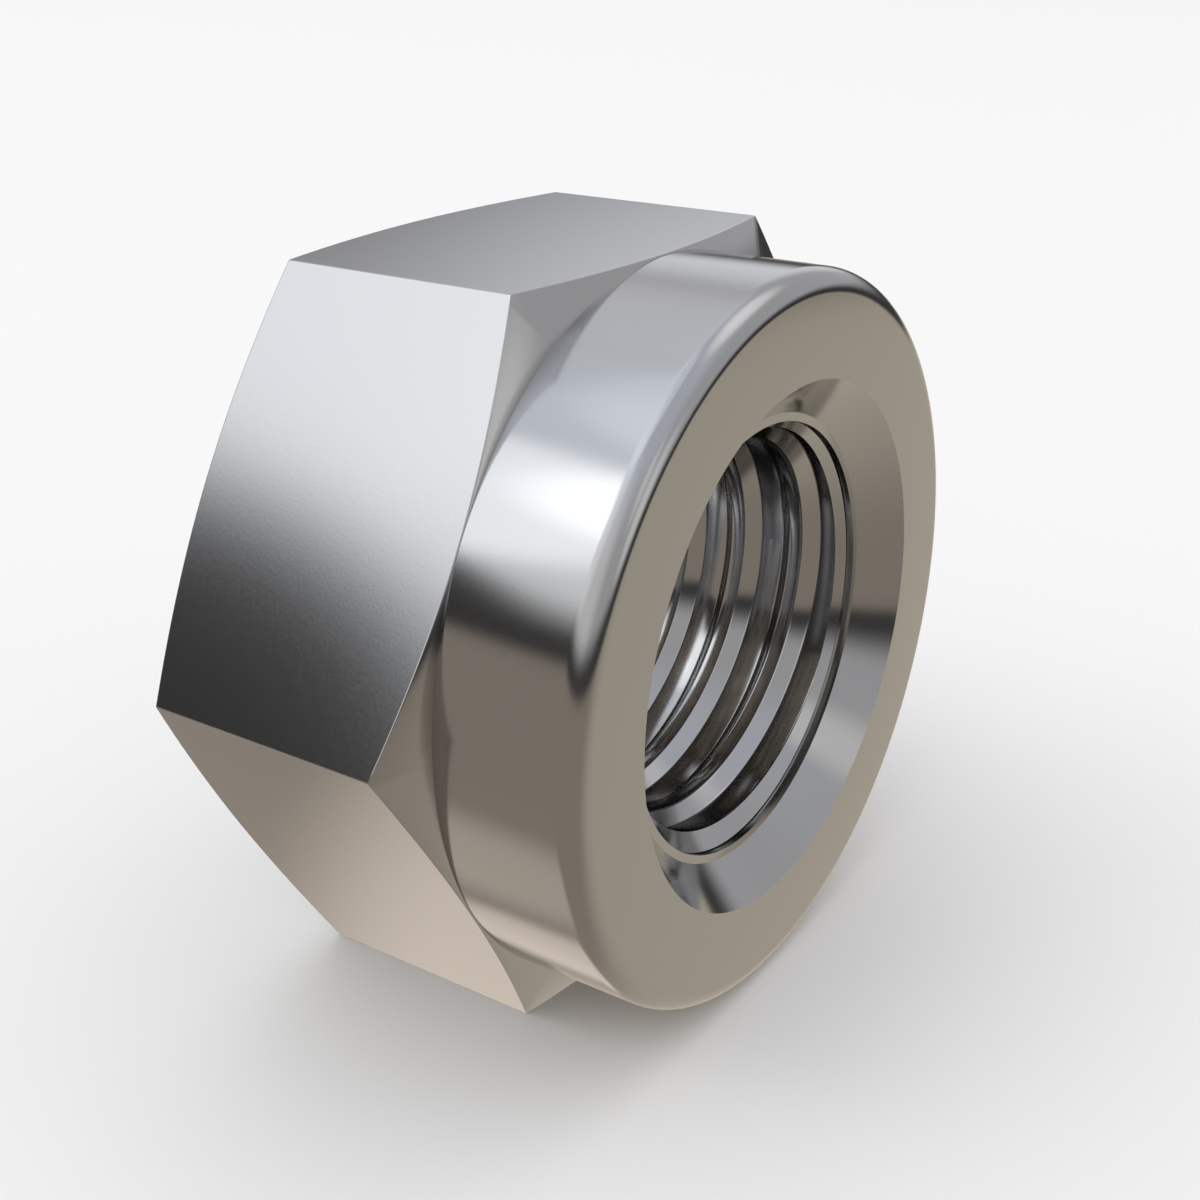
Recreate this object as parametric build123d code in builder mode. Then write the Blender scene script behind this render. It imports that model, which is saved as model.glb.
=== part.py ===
# Hex lock nut, M8 x 1.25, with a turned collar that holds a metal locking ring.
# The nut lies on one of its flats, as photographed. X is the thread's axis, from the
# bearing face (X = 0) towards the collar, and Z is up. All sizes are in millimetres.
from build123d import *
from math import cos, radians, tan
import os

# Hexagon and overall height
across_flats = 13.0
height = 8.0
hex_height = 5.38
seat_diameter = 11.95
chamfer_angle = 20.0

# Collar, with its rim rolled in over the ring
collar_diameter = 12.95
rim_radius = 0.4
mouth_diameter = 9.34
mouth_angle = 45.0
lip_diameter = 8.0

# Thread M8 x 1.25, bored here to its minor diameter
major_diameter = 8.0
minor_diameter = 6.647
entry_diameter = 8.4
entry_angle = 30.0

# Locking ring and the recess that it sits in
ring_thickness = 1.44
recess_diameter = 10.6
recess_corner = 0.25
ring_play = 0.02
ring_chamfer = 0.3
grip_diameter = 7.7
grip_length = 0.09
relief_width = 0.08
relief_depth = 0.05
lead_angle = 30.0

# Stations along the axis that follow from the sizes above
corner_radius = across_flats / 2 / cos(radians(30))
seat_bevel = (corner_radius - seat_diameter / 2) * tan(radians(chamfer_angle))
collar_bevel = (corner_radius - collar_diameter / 2) * tan(radians(chamfer_angle))
mouth_depth = (mouth_diameter - lip_diameter) / 2 / tan(radians(mouth_angle))
entry_depth = (entry_diameter - minor_diameter) / 2 * tan(radians(entry_angle))
ring_top = height - mouth_depth
ring_seat = ring_top - ring_thickness
relief_top = ring_top - grip_length
relief_base = relief_top - relief_width
lead_base = relief_base - (grip_diameter - minor_diameter) / 2 * tan(radians(lead_angle))


# The round edges of that radius in the plane X = station
def nut_edges(part, radius, station):
    rings = part.edges().filter_by(GeomType.CIRCLE)
    return rings.filter_by(lambda e: abs(e.radius - radius) < 1e-4 and abs(e.center().X - station) < 1e-4)


# Nut body: a hexagon bevelled at both ends, with the collar turned on top of it
with BuildPart() as nut_body:
    with BuildSketch(Plane.YZ):
        RegularPolygon(across_flats / 2, 6, major_radius=False)
    extrude(amount=hex_height)
    with BuildSketch(Plane.XZ):
        with BuildLine():
            Polyline(
                (0, 0),
                (0, seat_diameter / 2),
                (seat_bevel, corner_radius),
                (hex_height - collar_bevel, corner_radius),
                (hex_height, collar_diameter / 2),
                (hex_height, 0),
                close=True,
            )
        make_face()
    revolve(axis=Axis.X, mode=Mode.INTERSECT)
    with BuildSketch(Plane.YZ.offset(hex_height)):
        Circle(collar_diameter / 2)
    extrude(amount=height - hex_height)
    fillet(nut_edges(nut_body, collar_diameter / 2, height), rim_radius)

    # Bore, ring recess and countersunk mouth
    with BuildSketch(Plane.XZ):
        with BuildLine():
            Polyline(
                (0, 0),
                (0, entry_diameter / 2),
                (entry_depth, minor_diameter / 2),
                (ring_seat, minor_diameter / 2),
                (ring_seat, recess_diameter / 2),
                (ring_top, recess_diameter / 2),
                (ring_top, lip_diameter / 2),
                (height, mouth_diameter / 2),
                (height, 0),
                close=True,
            )
        make_face()
    revolve(axis=Axis.X, mode=Mode.SUBTRACT)
    fillet(nut_edges(nut_body, recess_diameter / 2, ring_top), recess_corner)
nut_body.part.label = "nut_body"

# Locking ring: tapped with the body, then countersunk and relieved below its gripping edge
with BuildPart() as locking_ring:
    with BuildSketch(Plane.YZ.offset(ring_seat)):
        Circle(recess_diameter / 2 - ring_play)
    extrude(amount=ring_thickness)
    chamfer(nut_edges(locking_ring, recess_diameter / 2 - ring_play, ring_top), ring_chamfer)
    with BuildSketch(Plane.XZ):
        with BuildLine():
            Polyline(
                (ring_seat, 0),
                (ring_seat, minor_diameter / 2),
                (lead_base, minor_diameter / 2),
                (relief_base, grip_diameter / 2),
                (relief_base, major_diameter / 2 + relief_depth),
                (relief_top, major_diameter / 2 + relief_depth),
                (relief_top, grip_diameter / 2),
                (ring_top, grip_diameter / 2),
                (ring_top, 0),
                close=True,
            )
        make_face()
    revolve(axis=Axis.X, mode=Mode.SUBTRACT)
locking_ring.part.label = "locking_ring"

os.makedirs("parts", exist_ok=True)
export_step(nut_body.part, "parts/nut_body.step")
export_step(locking_ring.part, "parts/locking_ring.step")
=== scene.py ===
# Hex lock nut: steel body with a real thread, and the metal locking ring held in its collar.
# Everything is modelled in millimetres on the X axis and turned into metres at the end of each piece.
from math import cos, pi, radians, sin, tan

import bmesh
import bpy
from mathutils import Matrix, Vector


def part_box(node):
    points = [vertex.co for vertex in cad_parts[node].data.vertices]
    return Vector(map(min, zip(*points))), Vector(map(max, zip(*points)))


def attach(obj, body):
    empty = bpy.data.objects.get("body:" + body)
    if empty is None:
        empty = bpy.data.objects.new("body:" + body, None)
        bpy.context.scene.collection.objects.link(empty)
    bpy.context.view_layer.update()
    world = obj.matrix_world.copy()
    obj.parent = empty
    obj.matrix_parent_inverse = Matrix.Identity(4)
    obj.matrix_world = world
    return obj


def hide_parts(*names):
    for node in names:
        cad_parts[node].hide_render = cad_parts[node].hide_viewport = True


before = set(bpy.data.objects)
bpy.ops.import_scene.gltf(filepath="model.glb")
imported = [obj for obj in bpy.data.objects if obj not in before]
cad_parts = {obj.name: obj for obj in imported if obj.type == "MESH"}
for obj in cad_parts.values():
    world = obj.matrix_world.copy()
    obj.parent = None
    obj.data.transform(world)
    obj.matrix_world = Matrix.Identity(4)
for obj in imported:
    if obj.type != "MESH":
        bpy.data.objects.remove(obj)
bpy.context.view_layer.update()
millimetre = 0.001

# Distances in millimetres: at the same spot, near enough to merge, on a plane, and clear of an edge
sameSpot = 1e-3
mergeDistance = 1e-4
onPlane = 1e-6
margin = 0.01

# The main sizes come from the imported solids
nutLow, nutHigh = [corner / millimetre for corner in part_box("nut_body")]
ringLow, ringHigh = [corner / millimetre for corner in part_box("locking_ring")]
cornerRadius = nutHigh.y


# Small modelling helpers

def lathe(profile, segments):
    # turns a closed outline of (x, radius) points round the X axis
    bm = bmesh.new()
    verts = [bm.verts.new((x, 0, radius)) for x, radius in profile]
    edges = [bm.edges.new(pair) for pair in zip(verts, verts[1:] + verts[:1])]
    bmesh.ops.spin(bm, geom=verts + edges, cent=(0, 0, 0), axis=(1, 0, 0), angle=2 * pi,
                   steps=segments, use_merge=True)
    bmesh.ops.remove_doubles(bm, verts=bm.verts, dist=mergeDistance)
    bmesh.ops.recalc_face_normals(bm, faces=bm.faces)
    return bm


def roundEdges(bm, edges, size, segments, clamp=False):
    bmesh.ops.bevel(bm, geom=edges, offset=size, segments=segments, profile=0.5, material=-1,
                    affect="EDGES", clamp_overlap=clamp)


def roundLoop(bm, x, radius, size, segments):
    # rounds the circular edge at that station and radius
    def onLoop(vert):
        return abs(vert.co.x - x) < sameSpot and abs(vert.co.yz.length - radius) < sameSpot
    loop = [edge for edge in bm.edges if all(onLoop(vert) for vert in edge.verts)]
    roundEdges(bm, loop, size, segments)


def bendsMoreThan(edge, degrees):
    return len(edge.link_faces) == 2 and edge.calc_face_angle() > radians(degrees)


def makeObject(name, bm):
    mesh = bpy.data.meshes.new(name)
    bm.to_mesh(mesh)
    bm.free()
    made = bpy.data.objects.new(name, mesh)
    bpy.context.scene.collection.objects.link(made)
    return made


def carve(target, cutter, operation):
    # an exact boolean whose result becomes the target's own mesh
    cut = target.modifiers.new("cut", "BOOLEAN")
    cut.operation = operation
    cut.solver = "EXACT"
    cut.object = cutter
    shaped = target.evaluated_get(bpy.context.evaluated_depsgraph_get())
    mesh = bpy.data.meshes.new_from_object(shaped)
    target.modifiers.clear()
    target.data = mesh


# Degrees between two faces above which their edge stays crisp
crisp = {
    "anywhere": 28,
    "bearingFace": 10,        # where the bevel meets it in a circle
}


def shadesSmooth(edge):
    onBearingFace = all(abs(vert.co.x) < sameSpot for vert in edge.verts)
    limit = crisp["bearingFace" if onBearingFace else "anywhere"]
    return len(edge.link_faces) == 2 and edge.calc_face_angle() < radians(limit)


def finishPiece(piece, finish, node):
    # smooth shading, metres and the finish, then the frame's calls
    bm = bmesh.new()
    bm.from_mesh(piece.data)
    bmesh.ops.remove_doubles(bm, verts=bm.verts, dist=mergeDistance)
    for face in bm.faces:
        face.smooth = True
    for edge in bm.edges:
        edge.smooth = shadesSmooth(edge)
    bmesh.ops.scale(bm, vec=(millimetre,) * 3, verts=bm.verts)
    bm.to_mesh(piece.data)
    bm.free()
    # emptying the slots puts every face on the first one, so the whole piece has this finish
    piece.data.materials.clear()
    piece.data.materials.append(finish)
    # broad faces keep their own direction, and only the small roundings bend the light
    weigh = piece.modifiers.new("weigh", "WEIGHTED_NORMAL")
    weigh.keep_sharp = True
    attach(piece, "root")
    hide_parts(node)
    print(piece.name, "has", len(piece.data.polygons), "faces")


# Thread: a tap with the form that the photograph shows, cut out of both pieces in one go

thread = {
    "pitch": 1.25,
    "crestRadius": 3.45,      # just inside the widest that the standard allows
    "rootRadius": 3.7,
    "crestFlat": 0.28,
    "flankLean": 45,          # degrees between a flank and a plane across the axis
    "crestAt": 6.22,          # station of one crest's middle at the angle below
    "crestAngle": -20,        # degrees from +Y towards +Z
    "turns": 10,
    "turnsPastStart": 2,
    "stepsPerTurn": 192,
    "roundAbove": 30,         # edges that bend by more degrees than this are rounded
    "edgeRound": 0.025,
    "roundSegments": 2,
    "from": -0.6,
    "to": 7.2,                # inside the ring's relief groove
}


def tapOutline():
    # the crests and roots along +Z, a quarter turn from +Y
    pitch, crest = thread["pitch"], thread["crestFlat"]
    low, high = thread["crestRadius"], thread["rootRadius"]
    flank = (high - low) * tan(radians(thread["flankLean"]))
    onePitch = [(0, low), (crest, low), (crest + flank, high), (pitch - flank, high)]
    start = thread["crestAt"] + pitch * (90 - thread["crestAngle"]) / 360 - crest / 2
    first = start - (thread["turns"] - thread["turnsPastStart"]) * pitch
    return [(first + turn * pitch + x, radius) for turn in range(thread["turns"]) for x, radius in onePitch]


def closeEnd(bm, station, side):
    # cuts the tap off square there and fills the cut
    cut = bmesh.ops.bisect_plane(bm, geom=bm.verts[:] + bm.edges[:] + bm.faces[:], dist=onPlane,
                                 plane_co=(station, 0, 0), plane_no=(side, 0, 0), clear_outer=True)
    rim = [item for item in cut["geom_cut"] if isinstance(item, bmesh.types.BMEdge)]
    bmesh.ops.edgeloop_fill(bm, edges=rim)


def makeTap():
    bm = bmesh.new()
    verts = [bm.verts.new((x, 0, radius)) for x, radius in tapOutline()]
    edges = [bm.edges.new(pair) for pair in zip(verts, verts[1:])]
    steps = thread["stepsPerTurn"]
    bmesh.ops.spin(bm, geom=verts + edges, cent=(0, 0, 0), axis=(1, 0, 0),
                   dvec=(thread["pitch"] / steps, 0, 0), angle=2 * pi, steps=steps)
    bmesh.ops.remove_doubles(bm, verts=bm.verts, dist=mergeDistance)
    bends = [edge for edge in bm.edges if bendsMoreThan(edge, thread["roundAbove"])]
    roundEdges(bm, bends, thread["edgeRound"], thread["roundSegments"])
    closeEnd(bm, thread["from"], -1)
    closeEnd(bm, thread["to"], 1)
    bmesh.ops.recalc_face_normals(bm, faces=bm.faces)
    return makeObject("tap", bm)


# Finish: polished steel with a very fine grain

steel = {
    "colour": (0.37, 0.365, 0.36, 1),
    "roughness": 0.13,
    "roughnessSpread": 0.02,  # to either side
    "grainPerMillimetre": 18,
    "grainDetail": 3,
    "grainDepth": 0.00001,    # metres
    "grainStrength": 0.02,
}


def addSpeckle(nodes, links):
    place = nodes.new("ShaderNodeTexCoord")
    scale = nodes.new("ShaderNodeMapping")
    scale.inputs["Scale"].default_value = (1 / millimetre,) * 3
    links.new(place.outputs["Object"], scale.inputs["Vector"])
    speckle = nodes.new("ShaderNodeTexNoise")
    speckle.inputs["Scale"].default_value = steel["grainPerMillimetre"]
    speckle.inputs["Detail"].default_value = steel["grainDetail"]
    links.new(scale.outputs["Vector"], speckle.inputs["Vector"])
    return speckle.outputs["Fac"]


def makeSteel(name):
    material = bpy.data.materials.new(name)
    material.use_nodes = True
    nodes, links = material.node_tree.nodes, material.node_tree.links
    shader = nodes["Principled BSDF"]
    shader.inputs["Base Color"].default_value = steel["colour"]
    shader.inputs["Metallic"].default_value = 1
    speckle = addSpeckle(nodes, links)
    vary = nodes.new("ShaderNodeMapRange")
    vary.inputs["To Min"].default_value = steel["roughness"] - steel["roughnessSpread"]
    vary.inputs["To Max"].default_value = steel["roughness"] + steel["roughnessSpread"]
    links.new(speckle, vary.inputs["Value"])
    links.new(vary.outputs["Result"], shader.inputs["Roughness"])
    bump = nodes.new("ShaderNodeBump")
    bump.inputs["Strength"].default_value = steel["grainStrength"]
    bump.inputs["Distance"].default_value = steel["grainDepth"]
    links.new(speckle, bump.inputs["Height"])
    links.new(bump.outputs["Normal"], shader.inputs["Normal"])
    return material


polished = makeSteel("polished_steel")
print("finish made")


# Nut body: a turned blank, cut to a hexagon, then tapped

nut = {
    "seatRadius": 5.975,
    "bevelAngle": 20,
    "collarRadius": 6.475,
    "collarBase": 5.38,
    "rimRound": 0.4,
    "mouthRadius": 4.67,
    "lipRadius": 4.0,
    "recessRadius": 5.3,
    "recessRound": 0.25,
    "entryRadius": 4.2,
    "entrySlope": 30,
    "coreRadius": 3.0,        # removed by the tap
    "blankRadius": 8.0,       # beyond the corners
    "overshoot": 1,           # that the hexagon reaches past both ends
    "segments": 288,
    "rimSegments": 12,
    "recessSegments": 4,
    "roundAbove": 15,         # the hexagon's edges that bend by more degrees than this are rounded
    "edgeRound": 0.02,
    "edgeSegments": 2,
}


def makeBlank():
    slope = tan(radians(nut["bevelAngle"]))
    entryDepth = (nut["entryRadius"] - nut["coreRadius"]) * tan(radians(nut["entrySlope"]))
    bm = lathe([
        (entryDepth, nut["coreRadius"]),
        (0, nut["entryRadius"]),
        (0, nut["seatRadius"]),
        ((nut["blankRadius"] - nut["seatRadius"]) * slope, nut["blankRadius"]),
        (nut["collarBase"] - (nut["blankRadius"] - nut["collarRadius"]) * slope, nut["blankRadius"]),
        (nut["collarBase"], nut["collarRadius"]),
        (nutHigh.x, nut["collarRadius"]),
        (nutHigh.x, nut["mouthRadius"]),
        (ringHigh.x, nut["lipRadius"]),
        (ringHigh.x, nut["recessRadius"]),
        (ringLow.x, nut["recessRadius"]),
        (ringLow.x, nut["coreRadius"]),
    ], nut["segments"])
    roundLoop(bm, nutHigh.x, nut["collarRadius"], nut["rimRound"], nut["rimSegments"])
    roundLoop(bm, ringHigh.x, nut["recessRadius"], nut["recessRound"], nut["recessSegments"])
    return makeObject("nut_body_steel", bm)


def makePrism():
    hexagon = bmesh.new()
    bmesh.ops.create_circle(hexagon, cap_ends=True, radius=cornerRadius, segments=6)
    lift = bmesh.ops.extrude_face_region(hexagon, geom=hexagon.faces[:])
    raised = [item for item in lift["geom"] if isinstance(item, bmesh.types.BMVert)]
    past = nut["overshoot"]
    bmesh.ops.translate(hexagon, vec=(0, 0, nutHigh.x + 2 * past), verts=raised)
    bmesh.ops.translate(hexagon, vec=(0, 0, -past), verts=hexagon.verts)
    # stand the prism along X, with two flats level
    bmesh.ops.rotate(hexagon, matrix=Matrix.Rotation(radians(90), 3, "Y"), verts=hexagon.verts)
    bmesh.ops.recalc_face_normals(hexagon, faces=hexagon.faces)
    return makeObject("prism", hexagon)


def breakEdges(body):
    # the hexagon's edges catch a hairline of light
    bm = bmesh.new()
    bm.from_mesh(body.data)
    bmesh.ops.remove_doubles(bm, verts=bm.verts, dist=mergeDistance)
    inside = nut["collarRadius"] + margin
    edges = [edge for edge in bm.edges if bendsMoreThan(edge, nut["roundAbove"])
             and all(vert.co.yz.length > inside for vert in edge.verts)]
    roundEdges(bm, edges, nut["edgeRound"], nut["edgeSegments"], clamp=True)
    bm.to_mesh(body.data)
    bm.free()


def makeNut(tap):
    body = makeBlank()
    prism = makePrism()
    carve(body, prism, "INTERSECT")
    bpy.data.objects.remove(prism)
    breakEdges(body)
    carve(body, tap, "DIFFERENCE")
    return body


# Locking ring: its upper edge shows as the narrow ledge at the foot of the mouth

ring = {
    "outerRadius": ringHigh.z,
    "chamfer": 0.3,
    "gripRadius": 3.85,
    "gripLength": 0.09,
    "reliefWidth": 0.06,
    "reliefRadius": 3.93,
    "leadSlope": 45,          # the thread's lead-in below the groove
    "coreRadius": 3.0,
    "segments": 288,
}


def makeRing(tap):
    top, seat = ringHigh.x, ringLow.x
    gripFoot = top - ring["gripLength"]
    reliefFoot = gripFoot - ring["reliefWidth"]
    leadDepth = (ring["gripRadius"] - ring["coreRadius"]) * tan(radians(ring["leadSlope"]))
    bm = lathe([
        (seat, ring["coreRadius"]),
        (seat, ring["outerRadius"]),
        (top - ring["chamfer"], ring["outerRadius"]),
        (top, ring["outerRadius"] - ring["chamfer"]),
        (top, ring["gripRadius"]),
        (gripFoot, ring["gripRadius"]),
        (gripFoot, ring["reliefRadius"]),
        (reliefFoot, ring["reliefRadius"]),
        (reliefFoot, ring["gripRadius"]),
        (reliefFoot - leadDepth, ring["coreRadius"]),
    ], ring["segments"])
    piece = makeObject("locking_ring_steel", bm)
    carve(piece, tap, "DIFFERENCE")
    return piece


tap = makeTap()
body = makeNut(tap)
lockingRing = makeRing(tap)
bpy.data.objects.remove(tap)
finishPiece(body, polished, "nut_body")
finishPiece(lockingRing, polished, "locking_ring")


# Studio: a pale floor in a large light tent, tilted a little as the photograph's own surroundings were

tent = {
    "radius": 1.4,
    "subdivisions": 5,
    "lean": 10,               # degrees that its axis leans
    "leanTowards": 30,        # azimuth from +X towards +Y
    "clothColour": (0.72, 0.73, 0.76),
    "skirtColour": (0.47, 0.41, 0.35),
    "trimColour": (0.06, 0.06, 0.06),
    "trim": (-4, 0, 3, 15),   # soft lower and upper edges of the dark trim above the skirt, in degrees
    # azimuth, elevation, degrees from the middle where the light is full and where it ends, and its glow
    "clothLights": [
        (-136, 49, 18, 42, (0.43, 0.49, 0.55)),
        (-139, 38, 12, 18, (0.8, 0.82, 0.84)),
        (-126, 48, 4, 12, (0.9, 0.92, 0.95)),
        (-88, 25, 10, 52, (0.4, 0.38, 0.35)),
        (66, 53, 1, 22, (0.75, 0.7, 0.62)),
        (12, 8, 2, 18, (0.48, 0.47, 0.46)),
        (-4, 29, 1, 12, (0.4, 0.38, 0.35)),
        (112, 16, 6, 22, (0.32, 0.34, 0.37)),
        (-155, 78, 18, 22, (0.3, 0.32, 0.34)),
        (137, 52, 4, 25, (0.34, 0.35, 0.37)),
        (0, 80, 20, 60, (0.15, 0.19, 0.28)),
    ],
    "skirtLights": [
        (159, -63, 6, 14, (0.65, 0.57, 0.5)),
        (62, -32, 2, 70, (0.26, 0.25, 0.2)),
        (-146, -52, 4, 18, (0.35, 0.32, 0.28)),
    ],
    "blackCard": (-134, 12, 9, 14.5),
}
floorPaper = {
    "colour": (0.88, 0.85, 0.8, 1),
    "roughness": 0.9,
    "segments": 128,
}


def direction(azimuth, elevation):
    a, e = radians(azimuth), radians(elevation)
    return Vector((cos(a) * cos(e), sin(a) * cos(e), sin(e)))


def fade(tree, value, low, high):
    # rises softly from 0 at low to 1 at high
    ramp = tree.nodes.new("ShaderNodeMapRange")
    ramp.interpolation_type = "SMOOTHSTEP"
    ramp.inputs["From Min"].default_value = low
    ramp.inputs["From Max"].default_value = high
    tree.links.new(value, ramp.inputs["Value"])
    return ramp.outputs["Result"]


def along(tree, toward, axis):
    # how far a direction leans towards the axis, as a cosine
    product = tree.nodes.new("ShaderNodeVectorMath")
    product.operation = "DOT_PRODUCT"
    product.inputs[1].default_value = axis
    tree.links.new(toward, product.inputs[0])
    return product.outputs["Value"]


def softSpot(tree, toward, azimuth, elevation, full, end):
    facing = along(tree, toward, direction(azimuth, elevation))
    return fade(tree, facing, cos(radians(end)), cos(radians(full)))


def mixColour(tree, mode, factor, first, second):
    mix = tree.nodes.new("ShaderNodeMixRGB")
    mix.blend_type = mode
    tree.links.new(factor, mix.inputs["Fac"])
    for socket, colour in ((mix.inputs["Color1"], first), (mix.inputs["Color2"], second)):
        if isinstance(colour, tuple):
            socket.default_value = (*colour, 1)
        else:
            tree.links.new(colour, socket)
    return mix.outputs["Color"]


def litCloth(tree, toward, colour, lights):
    for azimuth, elevation, full, end, glow in lights:
        colour = mixColour(tree, "ADD", softSpot(tree, toward, azimuth, elevation, full, end), colour, glow)
    return colour


def makeTentCloth():
    material = bpy.data.materials.new("tent_cloth")
    material.use_nodes = True
    material.cycles.emission_sampling = "NONE"  # light from all round is found without aiming at it
    tree = material.node_tree
    tree.nodes.clear()
    place = tree.nodes.new("ShaderNodeTexCoord")
    unit = tree.nodes.new("ShaderNodeVectorMath")
    unit.operation = "NORMALIZE"
    tree.links.new(place.outputs["Object"], unit.inputs[0])
    toward = unit.outputs["Vector"]
    height = along(tree, toward, direction(tent["leanTowards"], 90 - tent["lean"]))
    skirtEnd, trimStart, trimEnd, clothStart = [sin(radians(angle)) for angle in tent["trim"]]
    cloth = litCloth(tree, toward, tent["clothColour"], tent["clothLights"])
    skirt = litCloth(tree, toward, tent["skirtColour"], tent["skirtLights"])
    cloth = mixColour(tree, "MIX", softSpot(tree, toward, *tent["blackCard"]), cloth, tent["trimColour"])
    upper = mixColour(tree, "MIX", fade(tree, height, trimEnd, clothStart), tent["trimColour"], cloth)
    whole = mixColour(tree, "MIX", fade(tree, height, skirtEnd, trimStart), skirt, upper)
    glow = tree.nodes.new("ShaderNodeEmission")
    tree.links.new(whole, glow.inputs["Color"])
    output = tree.nodes.new("ShaderNodeOutputMaterial")
    tree.links.new(glow.outputs["Emission"], output.inputs["Surface"])
    return material


def addTent():
    bm = bmesh.new()
    bmesh.ops.create_icosphere(bm, subdivisions=tent["subdivisions"], radius=tent["radius"])
    dome = makeObject("light_tent", bm)
    dome.data.materials.append(makeTentCloth())
    dome.visible_camera = False


def addFloor():
    paper = bpy.data.materials.new("floor_paper")
    paper.use_nodes = True
    shader = paper.node_tree.nodes["Principled BSDF"]
    shader.inputs["Base Color"].default_value = floorPaper["colour"]
    shader.inputs["Roughness"].default_value = floorPaper["roughness"]
    shader.inputs["Specular IOR Level"].default_value = 0
    bm = bmesh.new()
    bmesh.ops.create_circle(bm, cap_ends=True, radius=tent["radius"], segments=floorPaper["segments"])
    bmesh.ops.translate(bm, vec=(0, 0, nutLow.z * millimetre), verts=bm.verts)
    floor = makeObject("floor", bm)
    floor.data.materials.append(paper)
    floor.visible_glossy = False  # the steel mirrors the tent's skirt


def whiteWorld():
    # seen only past the floor's edge
    world = bpy.data.worlds.new("studio")
    bpy.context.scene.world = world
    world.use_nodes = True
    world.node_tree.nodes["Background"].inputs["Color"].default_value = (1, 1, 1, 1)


addTent()
addFloor()
whiteWorld()
print("studio set")


# Camera, as the photograph was taken

shot = {
    "spot": (19.60, -23.34, 12.19),
    "aim": (3.87, 0.34, -0.18),
    "lens": 50,
    "sensor": 36,
}
cameraData = bpy.data.cameras.new("camera")
cameraData.lens = shot["lens"]
cameraData.sensor_width = shot["sensor"]
cameraData.clip_start = millimetre
camera = bpy.data.objects.new("camera", cameraData)
camera.location = Vector(shot["spot"]) * millimetre
look = Vector(shot["aim"]) - Vector(shot["spot"])
camera.rotation_euler = look.to_track_quat("-Z", "Y").to_euler()
bpy.context.scene.collection.objects.link(camera)
bpy.context.scene.camera = camera
bpy.context.scene.view_settings.view_transform = "Standard"
